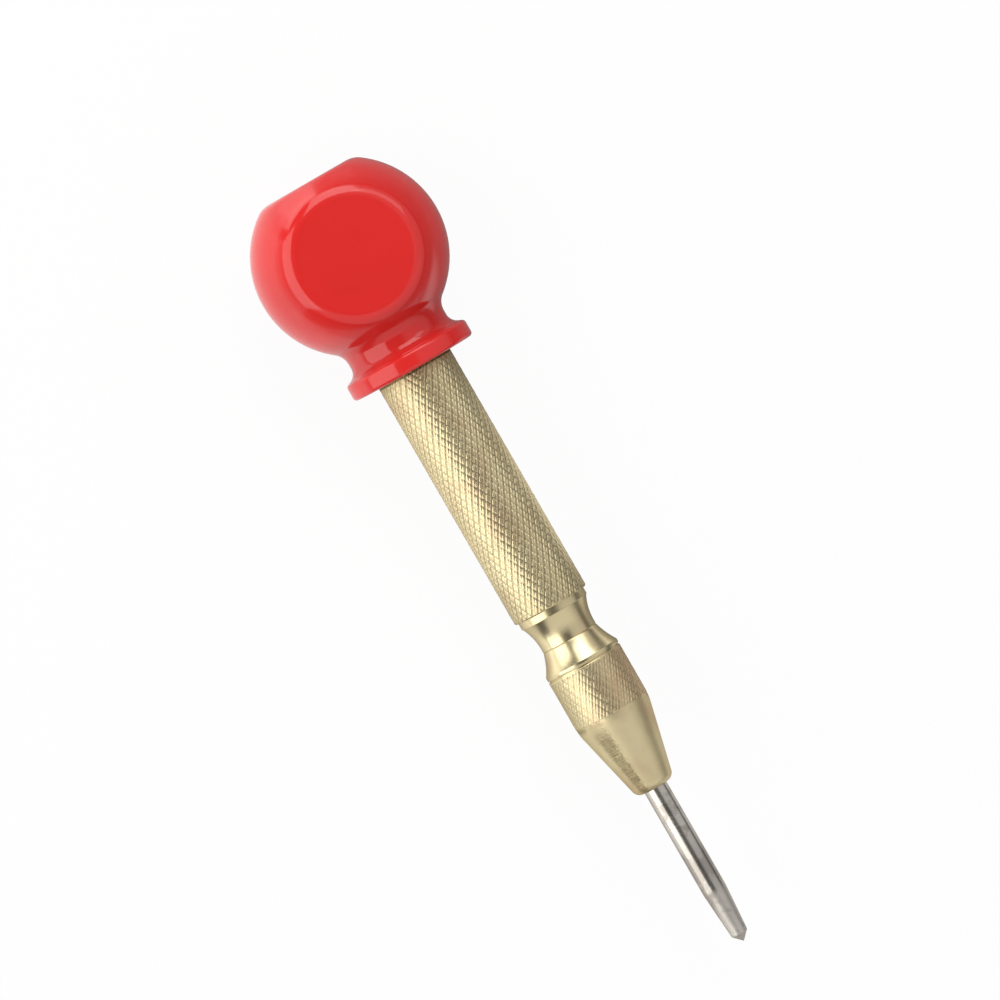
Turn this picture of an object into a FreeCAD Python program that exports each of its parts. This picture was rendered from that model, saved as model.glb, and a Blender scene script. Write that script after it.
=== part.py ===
import FreeCAD, Part
import math
import os
import re
import Sketcher

# Automatic centre punch, about 150 mm long. The tool lies on one of the two flats of its ball cap:
# its axis runs along X, the point towards -X, and +Z is up. Lengths are in millimetres.
#
# Pressing the point in slides the punch and the trip rod up the nose. The rod leans on its domed
# foot, so its tip pushes the face of the hammer and not the bore in it, and the main spring is
# compressed. Near the end of the stroke the rod's thick stem enters the tapered web of the barrel,
# which lines its tip up with the hammer's bore. The hammer drops over it and strikes. The ball cap
# carries the screw that sets how far the main spring is compressed.

doc = FreeCAD.newDocument("CenterPunch")

SIZES = [
    # punch point
    ("point_reach", 30.45, "bare length of the punch ahead of the nose"),
    ("point_radius", 2.14, "ground shank of the punch"),
    ("tip_radius", 1.52, "base of the striking cone"),
    ("tip_half_angle", 45.0, "half of the cone's angle, in degrees"),
    ("taper_length", 7.8, "taper between the striking cone and the shank"),
    ("head_radius", 3.72, "head that stops the punch in the nose"),
    ("head_length", 3.0, "head of the punch, along the axis"),
    ("head_chamfer", 0.3, "chamfer on the back of the head"),
    # nose
    ("guide_length", 14.55, "bored guide for the shank, from the nose's face to the head"),
    ("guide_clearance", 0.06, "running clearance of the shank in its guide"),
    ("face_radius", 3.56, "front corner of the nose before it is rounded"),
    ("face_round", 1.35, "rounding of the nose's front corner"),
    ("cone_length", 15.05, "smooth cone of the nose"),
    ("cone_radius", 6.9, "large end of the cone"),
    ("nose_radius", 7.0, "knurled band of the nose"),
    ("nose_knurl_length", 9.3, "knurled band of the nose, along the axis"),
    ("groove_width", 0.3, "turned line behind the knurl"),
    ("groove_depth", 0.35, "depth of the turned line"),
    ("band_length", 0.8, "plain band between the turned line and the neck"),
    ("band_radius", 6.92, "plain band behind the turned line"),
    ("flare_length", 4.1, "neck, from the band to its tool line"),
    ("flare_arc", 14.0, "hollow of the neck in front of the tool line"),
    ("neck_radius", 5.2, "neck at its tool line"),
    ("neck_length", 5.2, "neck, from its tool line to the ring"),
    ("neck_arc", 10.0, "hollow of the neck behind the tool line"),
    ("neck_end_radius", 6.27, "neck where it meets the ring"),
    ("ring_radius", 6.4, "polished ring that seats on the barrel"),
    ("ring_length", 1.3, "polished ring, along the axis"),
    ("spigot_length", 9.2, "threaded spigot that screws into the barrel"),
    ("nose_bore_radius", 3.8, "bore for the punch head and trip spring"),
    ("thread_radius", 5.0, "both ends of the barrel are tapped M10 x 1"),
    ("thread_clearance", 0.03, "clearance in the threads, modelled plain"),
    # barrel
    ("barrel_radius", 7.05, "knurled barrel"),
    ("barrel_length", 61.5, "barrel"),
    ("barrel_chamfer", 0.25, "chamfers on the barrel's ends"),
    ("bore_radius", 4.5, "bore for the hammer and main spring"),
    ("top_thread_length", 10.0, "tapped length under the cap"),
    ("spigot_gap", 0.3, "space past the end of the spigot"),
    ("web_length", 3.0, "web that lines up the trip rod"),
    ("web_clearance", 0.1, "clearance of the rod's stem in the web"),
    ("lead_radius", 2.9, "mouth of the taper in the web"),
    ("lead_length", 0.9, "taper in the web"),
    # hammer
    ("hammer_length", 16.0, "hammer without its boss"),
    ("hammer_clearance", 0.07, "running clearance of the hammer"),
    ("hammer_chamfer", 0.4, "chamfers on the hammer"),
    ("strike_depth", 8.0, "blind bore that drops over the rod's tip"),
    ("strike_clearance", 0.1, "clearance of the rod's tip in that bore"),
    ("boss_radius", 2.6, "bosses that keep the main spring central"),
    ("boss_length", 3.0, "bosses, along the axis"),
    # trip rod
    ("stroke", 8.5, "travel of the punch to the stop"),
    ("align_depth", 1.8, "how far the thick stem is in the web at the end of the stroke"),
    ("foot_radius", 3.3, "foot of the trip rod"),
    ("foot_length", 2.0, "foot of the trip rod, along its axis"),
    ("foot_dome", 12.0, "dome that the foot rocks on"),
    ("stem_radius", 2.0, "thick stem"),
    ("pin_radius", 1.2, "thin tip of the rod"),
    ("rod_lean", 1.49, "lean of the rod at rest, in degrees"),
    ("rocker_gap", 0.03, "clearance under the dome"),
    ("trip_gap", 0.15, "lost motion between the rod's tip and the hammer"),
    ("rod_chamfer", 0.3, "chamfers on the rod"),
    # springs
    ("main_wire", 1.4, "wire of the main spring"),
    ("main_coil_radius", 3.6, "mean radius of the main spring"),
    ("main_pitch", 3.5, "pitch of the main spring"),
    ("trip_wire", 0.6, "wire of the trip spring"),
    ("trip_small_radius", 2.5, "mean radius of the trip spring on the foot"),
    ("trip_large_radius", 3.35, "mean radius of the trip spring on the web"),
    ("trip_pitch", 4.2, "pitch of the trip spring"),
    ("trip_spring_gap", 0.1, "room over the leaning foot"),
    # spring seat and adjusting screw
    ("seat_length", 2.0, "flange of the spring seat"),
    ("seat_clearance", 0.1, "clearance of the spring seat in the bore"),
    ("screw_grip", 7.0, "how far the adjusting screw stands in the barrel at rest"),
    ("screw_chamfer", 0.6, "lead of the adjusting screw"),
    ("hex_width", 9.0, "head moulded into the cap, across its flats"),
    ("hex_length", 8.0, "head moulded into the cap, along the axis"),
    ("insert_gap", 0.02, "clearance round the moulded-in head"),
    # ball cap
    ("cap_cover", 14.6, "how far the cap reaches over the barrel at rest"),
    ("cap_travel_room", 4.0, "room in the socket for screwing the cap down"),
    ("skirt_clearance", 0.3, "gap between the barrel and the socket"),
    ("flange_radius", 11.65, "flange at the cap's mouth"),
    ("flange_height", 3.2, "flange, along the axis"),
    ("flange_round", 0.5, "rounding of the flange's edges"),
    ("collar_radius", 9.4, "collar between the flange and the ball"),
    ("collar_fillet", 1.7, "fillet between the flange and the collar"),
    ("ball_fillet", 2.75, "fillet between the collar and the ball"),
    ("ball_radius", 17.1, "ball"),
    ("collar_length", 4.5154, "collar between the flange and the ball, before the fillets"),
    ("palm_radius", 8.9022, "palm flat before its edge is rounded"),
    ("disc_radius", 11.109, "each side flat before its edge is rounded"),
    ("flat_round", 2.2, "rounding of the flats' edges"),
]

sheet = doc.addObject("Spreadsheet::Sheet", "Sizes")
for row, (alias, value, meaning) in enumerate(SIZES, start=1):
    sheet.set(f"A{row}", meaning)
    sheet.set(f"B{row}", str(value))
    sheet.setAlias(f"B{row}", alias)
doc.recompute()

# Places along the axis, measured from the striking tip, each built up from the sizes above.
PLACES = {
    "tip_cone": "tip_radius / tan(tip_half_angle * 1deg)",
    "taper_end": "tip_cone + taper_length",
    "head_seat": "point_reach + guide_length",
    "head_back": "head_seat + head_length",
    "cone_end": "point_reach + cone_length",
    "knurl_end": "cone_end + nose_knurl_length",
    "band_start": "knurl_end + groove_width",
    "band_end": "band_start + band_length",
    "tool_line": "band_end + flare_length",
    "ring_start": "tool_line + neck_length",
    "barrel_start": "ring_start + ring_length",
    "spigot_end": "barrel_start + spigot_length",
    "web_start": "spigot_end + spigot_gap",
    "web_end": "web_start + web_length",
    "hammer_back": "web_end + hammer_length",
    "barrel_end": "barrel_start + barrel_length",
    "top_thread_start": "barrel_end - top_thread_length",
    "seat_end": "barrel_end - screw_grip",
    "seat_start": "seat_end - seat_length",
    "main_spring_length": "seat_start - hammer_back",
    "socket_floor": "barrel_end + cap_travel_room",
    "cap_start": "barrel_end - cap_cover",
    "ball_start": "cap_start + flange_height + collar_length",
    "ball_centre": "ball_start + sqrt(ball_radius ^ 2 - collar_radius ^ 2)",
    "side_flat": "sqrt(ball_radius ^ 2 - disc_radius ^ 2)",
    "cap_end": "ball_centre + sqrt(ball_radius ^ 2 - palm_radius ^ 2)",
    "rod_base": "head_back + rocker_gap",
    "rod_shoulder": "web_start + align_depth - stroke - rod_base",
    "rod_length": "web_end - trip_gap - rod_base",
    "foot_rim": "foot_dome - sqrt(foot_dome ^ 2 - foot_radius ^ 2)",
    "trip_spring_start": "rod_base + foot_length + trip_spring_gap",
    "trip_spring_length": "web_start - trip_spring_start",
}
ALIASES = {alias for alias, _, _ in SIZES}
WIRE_SIDES = 8


def bound(text):
    """The expression for a size or a place, with every name replaced by the cells it comes from."""

    def cell(match):
        word = match.group(0)
        if word in ALIASES:
            return f"Sizes.{word}"
        if word in PLACES:
            return f"({bound(PLACES[word])})"
        return word

    return re.sub(r"[a-z][a-z_]+", cell, text)


def number(text):
    """The value of a size or a place in millimetres or degrees."""
    value = sheet.evalExpression(bound(text))
    return float(getattr(value, "Value", value))


def plane(body, role):
    """One of the body's own origin planes or axes."""
    for feature in body.Origin.OriginFeatures:
        if feature.Role == role:
            return feature
    raise RuntimeError(f"{body.Label} has no {role}")


def new_body(name, at="0", lean="0"):
    """A body on the tool's axis. Its own X is the distance from the tip, or from the place given."""
    body = doc.addObject("PartDesign::Body", name)
    body.Label = name
    put_on_axis(body, at, lean)
    return body


def put_on_axis(item, at="0", lean="0"):
    item.Placement = FreeCAD.Placement(FreeCAD.Vector(), FreeCAD.Rotation(FreeCAD.Vector(0, 1, 0), 1))
    item.setExpression(".Placement.Base.x", bound(f"{at} - cap_end / 2"))
    item.setExpression(".Placement.Base.z", bound("side_flat"))
    item.setExpression(".Placement.Rotation.Angle", bound(lean))


def new_sketch(body, name, role="XY_Plane"):
    sketch = body.newObject("Sketcher::SketchObject", name)
    sketch.AttachmentSupport = (plane(body, role), [""])
    sketch.MapMode = "FlatFace"
    return sketch


def pin_down(sketch, line, end, along, across):
    """Tie one end of a line to its distance along the axis and its radius."""
    if across == "0":
        sketch.addConstraint(Sketcher.Constraint("PointOnObject", line, end, -1))
    else:
        index = sketch.addConstraint(
            Sketcher.Constraint("DistanceY", -1, 1, line, end, number(across))
        )
        sketch.setExpression(f"Constraints[{index}]", bound(across))
    if along == "0":
        sketch.addConstraint(Sketcher.Constraint("PointOnObject", line, end, -2))
    else:
        index = sketch.addConstraint(
            Sketcher.Constraint("DistanceX", -1, 1, line, end, number(along))
        )
        sketch.setExpression(f"Constraints[{index}]", bound(along))


def section(sketch, points):
    """Draw a closed section from (distance, radius) pairs.

    A third entry in a pair is the radius of an arc that leads on from it: positive bulges away
    from the axis, and a minus sign in front makes it hollow.
    """
    spots = [FreeCAD.Vector(number(p[0]), number(p[1]), 0) for p in points]
    count = len(points)
    for i, point in enumerate(points):
        start = spots[i]
        end = spots[(i + 1) % count]
        if len(point) == 2:
            sketch.addGeometry(Part.LineSegment(start, end), False)
        else:
            radius = number(point[2].lstrip("-"))
            hollow = point[2].startswith("-")
            chord = end - start
            outward = FreeCAD.Vector(-chord.y, chord.x, 0).normalize()
            rise = (radius**2 - (chord.Length / 2) ** 2) ** 0.5
            centre = (start + end) * 0.5 + outward * (rise if hollow else -rise)
            # a sketch's arcs run anticlockwise, so a bulging one is drawn from its far end
            angles = [math.atan2(v.y - centre.y, v.x - centre.x) for v in (start, end)]
            if not hollow:
                angles.reverse()
            circle = Part.Circle(centre, FreeCAD.Vector(0, 0, 1), radius)
            sketch.addGeometry(Part.ArcOfCircle(circle, *angles), False)
    bulging = [len(p) == 3 and not p[2].startswith("-") for p in points]
    firsts = [2 if b else 1 for b in bulging]
    lasts = [1 if b else 2 for b in bulging]
    for i in range(count):
        following = (i + 1) % count
        sketch.addConstraint(
            Sketcher.Constraint("Coincident", i, lasts[i], following, firsts[following])
        )
    for i, point in enumerate(points):
        pin_down(sketch, i, firsts[i], point[0], point[1])
        if len(point) == 3:
            radius = point[2].lstrip("-")
            index = sketch.addConstraint(Sketcher.Constraint("Radius", i, number(radius)))
            sketch.setExpression(f"Constraints[{index}]", bound(radius))
    doc.recompute()


def turned(body, name, points, kind="Revolution"):
    """Turn a section about the body's axis: kind Groove takes it away from the body."""
    before = body.Shape.Volume if kind == "Groove" else 0
    sketch = new_sketch(body, f"{name}_section")
    section(sketch, points)
    feature = body.newObject(f"PartDesign::{kind}", name)
    feature.Profile = sketch
    feature.ReferenceAxis = (sketch, ["H_Axis"])
    feature.Angle = 360
    doc.recompute()
    if kind == "Groove" and feature.Shape.Volume > before - 1e-6:
        raise RuntimeError(f"{name} takes nothing away")
    return feature


def edges_where(feature, test):
    """Names of the edges of which every point tried passes the test."""
    names = []
    for i, edge in enumerate(feature.Shape.Edges, start=1):
        first, last = edge.ParameterRange
        spots = [edge.valueAt(first + (last - first) * k / 7) for k in range(8)]
        if all(test(spot) for spot in spots):
            names.append(f"Edge{i}")
    return names


def on_ring(along, radius):
    """A test for a point on the circle round the axis at this place."""
    x = number(along)
    r = number(radius)

    def test(spot):
        return abs(spot.x - x) < 1e-4 and abs((spot.y**2 + spot.z**2) ** 0.5 - r) < 1e-4

    return test


def dressed(body, name, base, tests, size, kind="Fillet"):
    """Round or chamfer the edges of the base that pass one of the tests."""
    names = []
    for test in tests:
        found = edges_where(base, test)
        if not found:
            raise RuntimeError(f"{name} finds no edge")
        names += found
    feature = body.newObject(f"PartDesign::{kind}", name)
    feature.Base = (base, names)
    cell = "Radius" if kind == "Fillet" else "Size"
    setattr(feature, cell, number(size))
    feature.setExpression(cell, bound(size))
    doc.recompute()
    return feature


def hexagon(body, name, at, across_flats, length, kind):
    """A hexagonal prism on the axis, added (Pad) or taken away (Pocket)."""
    before = body.Shape.Volume
    sketch = new_sketch(body, f"{name}_section", "YZ_Plane")
    sketch.setExpression(".AttachmentOffset.Base.z", bound(at))
    corner = number(f"{across_flats} / sqrt(3)")
    spots = [
        FreeCAD.Rotation(FreeCAD.Vector(0, 0, 1), 60 * k).multVec(FreeCAD.Vector(corner, 0, 0))
        for k in range(6)
    ]
    for k in range(6):
        sketch.addGeometry(Part.LineSegment(spots[k], spots[(k + 1) % 6]), False)
    sketch.addGeometry(Part.Circle(FreeCAD.Vector(), FreeCAD.Vector(0, 0, 1), corner), True)
    for k in range(6):
        sketch.addConstraint(Sketcher.Constraint("Coincident", k, 2, (k + 1) % 6, 1))
        sketch.addConstraint(Sketcher.Constraint("PointOnObject", k, 1, 6))
    for k in range(5):
        sketch.addConstraint(Sketcher.Constraint("Equal", k, k + 1))
    sketch.addConstraint(Sketcher.Constraint("Coincident", 6, 3, -1, 1))
    sketch.addConstraint(Sketcher.Constraint("PointOnObject", 0, 1, -1))
    index = sketch.addConstraint(Sketcher.Constraint("Radius", 6, corner))
    sketch.setExpression(f"Constraints[{index}]", bound(f"{across_flats} / sqrt(3)"))
    feature = body.newObject(f"PartDesign::{kind}", name)
    feature.Profile = sketch
    feature.setExpression("Length", bound(length))
    feature.Reversed = kind == "Pocket"
    doc.recompute()
    change = body.Shape.Volume - before
    if (change > -1e-6) if kind == "Pocket" else (change < 1e-6):
        raise RuntimeError(f"{name} changes nothing")
    return feature


def coil_spring(name, at, length, first_radius, last_radius, wire, pitch):
    """A wire spring with ground ends: a helical sweep, cut square to its fitted length.

    The round wire is drawn with a few flat sides, which keeps its many turns light.
    """
    helix = doc.addObject("Part::Helix", f"{name}_line")
    # the coil runs on past each end, and the ground faces cut it back
    run_on = f"(0.8 * {wire})"
    slope = f"(({last_radius}) - ({first_radius})) / ({length})"
    helix.setExpression("Height", bound(f"{length} + 2 * {run_on}"))
    helix.setExpression("Pitch", bound(pitch))
    helix.setExpression("Radius", bound(f"{first_radius} - {slope} * {run_on}"))
    helix.setExpression("Angle", bound(f"atan({slope})"))
    helix.setExpression(".Placement.Base.z", bound(f"-{run_on}"))
    ring = doc.addObject("Part::RegularPolygon", f"{name}_wire")
    ring.Polygon = WIRE_SIDES
    ring.setExpression("Circumradius", bound(f"{wire} / 2"))
    ring.Placement = FreeCAD.Placement(
        FreeCAD.Vector(), FreeCAD.Rotation(FreeCAD.Vector(1, 0, 0), 90)
    )
    ring.setExpression(".Placement.Base.x", bound(f"{first_radius} - {slope} * {run_on}"))
    ring.setExpression(".Placement.Base.z", bound(f"-{run_on}"))
    doc.recompute()
    wound = doc.addObject("Part::Sweep", f"{name}_wound")
    wound.Sections = [ring]
    wound.Spine = (helix, [f"Edge{i + 1}" for i in range(len(helix.Shape.Edges))])
    wound.Solid = True
    wound.Frenet = True
    space = doc.addObject("Part::Cylinder", f"{name}_ground")
    space.setExpression("Height", bound(length))
    space.setExpression("Radius", bound(f"{first_radius} + {last_radius} + {wire}"))
    spring = doc.addObject("Part::Common", name)
    spring.Label = name
    spring.Base = wound
    spring.Tool = space
    doc.recompute()
    # the coil is wound along Z, so the spring is turned to lie along the tool's axis
    spring.Placement = FreeCAD.Placement(
        FreeCAD.Vector(), FreeCAD.Rotation(FreeCAD.Vector(0, 1, 0), 90)
    )
    spring.setExpression(".Placement.Base.x", bound(f"{at} - cap_end / 2"))
    spring.setExpression(".Placement.Base.z", bound("side_flat"))
    doc.recompute()
    return spring


# ---- punch point: the striking cone, a taper, the ground shank and the head that retains it
punch_point = new_body("punch_point")
shank = turned(
    punch_point,
    "punch_turning",
    [
        ("0", "0"),
        ("tip_cone", "tip_radius"),
        ("taper_end", "point_radius"),
        ("head_seat", "point_radius"),
        ("head_seat", "head_radius"),
        ("head_back", "head_radius"),
        ("head_back", "0"),
    ],
)
dressed(
    punch_point,
    "head_bevel",
    shank,
    [on_ring("head_back", "head_radius")],
    "head_chamfer",
    "Chamfer",
)

# ---- nose: smooth cone, knurled band, hollow neck, seating ring and threaded spigot
nose = new_body("nose")
nose_outside = turned(
    nose,
    "nose_turning",
    [
        ("point_reach", "0"),
        ("point_reach", "face_radius"),
        ("cone_end", "cone_radius"),
        ("cone_end", "nose_radius"),
        ("knurl_end", "nose_radius"),
        ("knurl_end", "nose_radius - groove_depth"),
        ("band_start", "nose_radius - groove_depth"),
        ("band_start", "band_radius"),
        ("band_end", "band_radius", "-flare_arc"),
        ("tool_line", "neck_radius", "-neck_arc"),
        ("ring_start", "neck_end_radius"),
        ("ring_start", "ring_radius"),
        ("barrel_start", "ring_radius"),
        ("barrel_start", "thread_radius - thread_clearance"),
        ("spigot_end", "thread_radius - thread_clearance"),
        ("spigot_end", "0"),
    ],
)
nose_rounded = dressed(
    nose, "nose_front", nose_outside, [on_ring("point_reach", "face_radius")], "face_round"
)
turned(
    nose,
    "nose_bores",
    [
        ("point_reach", "0"),
        ("point_reach", "point_radius + guide_clearance"),
        ("head_seat", "point_radius + guide_clearance"),
        ("head_seat", "nose_bore_radius"),
        ("spigot_end", "nose_bore_radius"),
        ("spigot_end", "0"),
    ],
    "Groove",
)

# ---- barrel: a knurled tube, tapped at both ends, with the tapered web that lines up the trip rod
barrel = new_body("barrel")
barrel_outside = turned(
    barrel,
    "barrel_turning",
    [
        ("barrel_start", "0"),
        ("barrel_start", "barrel_radius"),
        ("barrel_end", "barrel_radius"),
        ("barrel_end", "0"),
    ],
)
barrel_ends = [on_ring("barrel_start", "barrel_radius"), on_ring("barrel_end", "barrel_radius")]
dressed(barrel, "barrel_bevels", barrel_outside, barrel_ends, "barrel_chamfer", "Chamfer")
turned(
    barrel,
    "barrel_bores",
    [
        ("barrel_start", "0"),
        ("barrel_start", "thread_radius"),
        ("web_start", "thread_radius"),
        ("web_start", "lead_radius"),
        ("web_start + lead_length", "stem_radius + web_clearance"),
        ("web_end", "stem_radius + web_clearance"),
        ("web_end", "bore_radius"),
        ("top_thread_start", "bore_radius"),
        ("top_thread_start", "thread_radius"),
        ("barrel_end", "thread_radius"),
        ("barrel_end", "0"),
    ],
    "Groove",
)

# ---- hammer: slides in the barrel, with a blind bore in its striking face and a boss for the spring
hammer = new_body("hammer")
hammer_outside = turned(
    hammer,
    "hammer_turning",
    [
        ("web_end", "0"),
        ("web_end", "bore_radius - hammer_clearance"),
        ("hammer_back", "bore_radius - hammer_clearance"),
        ("hammer_back", "boss_radius"),
        ("hammer_back + boss_length", "boss_radius"),
        ("hammer_back + boss_length", "0"),
    ],
)
dressed(
    hammer,
    "hammer_bevels",
    hammer_outside,
    [
        on_ring("web_end", "bore_radius - hammer_clearance"),
        on_ring("hammer_back + boss_length", "boss_radius"),
    ],
    "hammer_chamfer",
    "Chamfer",
)
turned(
    hammer,
    "strike_bore",
    [
        ("web_end", "0"),
        ("web_end", "pin_radius + strike_clearance"),
        ("web_end + strike_depth", "pin_radius + strike_clearance"),
        ("web_end + strike_depth", "0"),
    ],
    "Groove",
)

# ---- trip rod: a domed foot that rocks on the punch's head, a thick stem and a thin tip
trip_rod = new_body("trip_rod", "rod_base", "rod_lean")
rod_turning = turned(
    trip_rod,
    "rod_turning",
    [
        ("0", "0", "foot_dome"),
        ("foot_rim", "foot_radius"),
        ("foot_length", "foot_radius"),
        ("foot_length", "stem_radius"),
        ("rod_shoulder", "stem_radius"),
        ("rod_shoulder", "pin_radius"),
        ("rod_length", "pin_radius"),
        ("rod_length", "0"),
    ],
)
dressed(
    trip_rod,
    "rod_bevels",
    rod_turning,
    [on_ring("rod_shoulder", "stem_radius"), on_ring("rod_length", "pin_radius")],
    "rod_chamfer",
    "Chamfer",
)

# ---- springs
coil_spring(
    "trip_spring",
    "trip_spring_start",
    "trip_spring_length",
    "trip_small_radius",
    "trip_large_radius",
    "trip_wire",
    "trip_pitch",
)
coil_spring(
    "main_spring",
    "hammer_back",
    "main_spring_length",
    "main_coil_radius",
    "main_coil_radius",
    "main_wire",
    "main_pitch",
)

# ---- spring seat: passes the screw's thrust to the main spring without turning it
spring_seat = new_body("spring_seat")
turned(
    spring_seat,
    "seat_turning",
    [
        ("seat_start - boss_length", "0"),
        ("seat_start - boss_length", "boss_radius"),
        ("seat_start", "boss_radius"),
        ("seat_start", "bore_radius - seat_clearance"),
        ("seat_end", "bore_radius - seat_clearance"),
        ("seat_end", "0"),
    ],
)

# ---- adjusting screw: threaded into the barrel, its hexagonal head moulded into the cap
adjusting_screw = new_body("adjusting_screw")
screw_shank = turned(
    adjusting_screw,
    "screw_turning",
    [
        ("seat_end", "0"),
        ("seat_end", "thread_radius - thread_clearance"),
        ("socket_floor", "thread_radius - thread_clearance"),
        ("socket_floor", "0"),
    ],
)
dressed(
    adjusting_screw,
    "screw_lead",
    screw_shank,
    [on_ring("seat_end", "thread_radius - thread_clearance")],
    "screw_chamfer",
    "Chamfer",
)
hexagon(adjusting_screw, "screw_head", "socket_floor", "hex_width", "hex_length", "Pad")

# ---- ball cap: a turned ball with a waisted collar and flange, cut by two side flats and a palm flat
ball_cap = new_body("ball_cap")
cap_outside = turned(
    ball_cap,
    "cap_turning",
    [
        ("cap_start", "0"),
        ("cap_start", "flange_radius"),
        ("cap_start + flange_height", "flange_radius"),
        ("cap_start + flange_height", "collar_radius"),
        ("ball_start", "collar_radius", "ball_radius"),
        ("cap_end", "palm_radius"),
        ("cap_end", "0"),
    ],
)
collar_blend = dressed(
    ball_cap,
    "collar_blend",
    cap_outside,
    [on_ring("cap_start + flange_height", "collar_radius")],
    "collar_fillet",
)
ball_blend = dressed(
    ball_cap, "ball_blend", collar_blend, [on_ring("ball_start", "collar_radius")], "ball_fillet"
)
flange_edges = dressed(
    ball_cap,
    "flange_edges",
    ball_blend,
    [
        on_ring("cap_start", "flange_radius"),
        on_ring("cap_start + flange_height", "flange_radius"),
    ],
    "flange_round",
)

flats_sketch = new_sketch(ball_cap, "side_flats_section", "XZ_Plane")
reach = "(ball_radius + 1)"
for side in ("", "-"):
    first = len(flats_sketch.Geometry)
    corners = [
        (f"ball_centre - {reach}", f"{side}side_flat"),
        (f"ball_centre + {reach}", f"{side}side_flat"),
        (f"ball_centre + {reach}", f"{side}{reach}"),
        (f"ball_centre - {reach}", f"{side}{reach}"),
    ]
    spots = [FreeCAD.Vector(number(x), number(z), 0) for x, z in corners]
    for k in range(4):
        flats_sketch.addGeometry(Part.LineSegment(spots[k], spots[(k + 1) % 4]), False)
    for k in range(4):
        flats_sketch.addConstraint(
            Sketcher.Constraint("Coincident", first + k, 2, first + (k + 1) % 4, 1)
        )
        pin_down(flats_sketch, first + k, 1, *corners[k])
side_flats = ball_cap.newObject("PartDesign::Pocket", "side_flats")
side_flats.Profile = flats_sketch
side_flats.setExpression("Length", bound(f"2 * {reach}"))
side_flats.Midplane = True
doc.recompute()


def on_side_flat(spot):
    return abs(abs(spot.z) - number("side_flat")) < 1e-4


flat_edges = dressed(
    ball_cap,
    "flat_edges",
    side_flats,
    [on_side_flat, on_ring("cap_end", "palm_radius")],
    "flat_round",
)
turned(
    ball_cap,
    "cap_socket",
    [
        ("cap_start", "0"),
        ("cap_start", "barrel_radius + skirt_clearance"),
        ("socket_floor", "barrel_radius + skirt_clearance"),
        ("socket_floor", "0"),
    ],
    "Groove",
)
hexagon(
    ball_cap,
    "head_pocket",
    "socket_floor",
    "(hex_width + 2 * insert_gap)",
    "hex_length + insert_gap",
    "Pocket",
)

# ---- checks, then one STEP file for each piece
NODES = [
    "punch_point",
    "nose",
    "barrel",
    "hammer",
    "trip_rod",
    "trip_spring",
    "main_spring",
    "spring_seat",
    "adjusting_screw",
    "ball_cap",
]
doc.recompute()
for item in doc.Objects:
    if {"Invalid", "Error"} & set(item.State):
        raise RuntimeError(f"{item.Label} failed: {item.State}")
os.makedirs("parts", exist_ok=True)
for node in NODES:
    piece = doc.getObjectsByLabel(node)[0]
    if piece.Shape.isNull() or not piece.Shape.isValid() or len(piece.Shape.Solids) != 1:
        raise RuntimeError(f"{node} is not one sound solid")
    piece.Shape.exportStep(f"parts/{node}.step")
    box = piece.Shape.BoundBox
    print(
        f"{node}: x {box.XMin:.2f} to {box.XMax:.2f}, z {box.ZMin:.2f} to {box.ZMax:.2f},"
        f" volume {piece.Shape.Volume:.0f}"
    )
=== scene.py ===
import math

import bpy
import numpy as np
from mathutils import Matrix, Vector


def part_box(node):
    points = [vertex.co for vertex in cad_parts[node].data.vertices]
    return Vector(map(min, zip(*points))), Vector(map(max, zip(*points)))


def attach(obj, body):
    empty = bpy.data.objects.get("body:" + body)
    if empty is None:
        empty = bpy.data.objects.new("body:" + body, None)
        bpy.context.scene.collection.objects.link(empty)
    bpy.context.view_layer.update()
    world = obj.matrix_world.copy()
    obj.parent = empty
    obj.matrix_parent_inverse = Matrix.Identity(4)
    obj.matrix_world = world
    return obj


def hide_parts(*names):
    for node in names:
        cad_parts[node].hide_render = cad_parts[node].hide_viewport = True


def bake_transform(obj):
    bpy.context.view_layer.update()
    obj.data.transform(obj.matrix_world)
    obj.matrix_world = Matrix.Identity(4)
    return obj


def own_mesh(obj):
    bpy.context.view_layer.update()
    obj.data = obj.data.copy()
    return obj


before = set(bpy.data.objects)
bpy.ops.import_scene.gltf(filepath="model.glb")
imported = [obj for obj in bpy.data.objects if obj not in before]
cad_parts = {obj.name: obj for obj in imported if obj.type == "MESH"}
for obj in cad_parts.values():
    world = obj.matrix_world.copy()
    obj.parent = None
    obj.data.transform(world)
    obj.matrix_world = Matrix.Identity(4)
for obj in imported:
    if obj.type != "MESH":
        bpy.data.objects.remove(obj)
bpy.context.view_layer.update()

# ---------------------------------------------------------------- sizes and places
# Lengths are in metres. Stations along the tool are measured from the striking tip.

MM = 0.001
TIP_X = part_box("punch_point")[0][0]
NOSE_LOW, NOSE_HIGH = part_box("nose")
BARREL_LOW, BARREL_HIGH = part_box("barrel")
CAP_LOW, CAP_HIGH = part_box("ball_cap")
AXIS_Z = (BARREL_LOW[2] + BARREL_HIGH[2]) / 2

POINT_REACH = NOSE_LOW[0] - TIP_X
PUNCH_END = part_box("punch_point")[1][0] - TIP_X
SPIGOT_END = NOSE_HIGH[0] - TIP_X
BARREL_START = BARREL_LOW[0] - TIP_X
BARREL_END = BARREL_HIGH[0] - TIP_X
BARREL_RADIUS = (BARREL_HIGH[2] - BARREL_LOW[2]) / 2
CAP_START = CAP_LOW[0] - TIP_X
CAP_END = CAP_HIGH[0] - TIP_X
BALL_RADIUS = (CAP_HIGH[1] - CAP_LOW[1]) / 2
SIDE_FLAT = AXIS_Z - CAP_LOW[2]
PALM_FLAT = 14.6 * MM  # from the ball's centre
BALL_CENTRE = CAP_END - PALM_FLAT
WEB_START = SPIGOT_END + 0.3 * MM
HEAD_LENGTH = 3.0 * MM  # the punch's head, behind its shank

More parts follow.
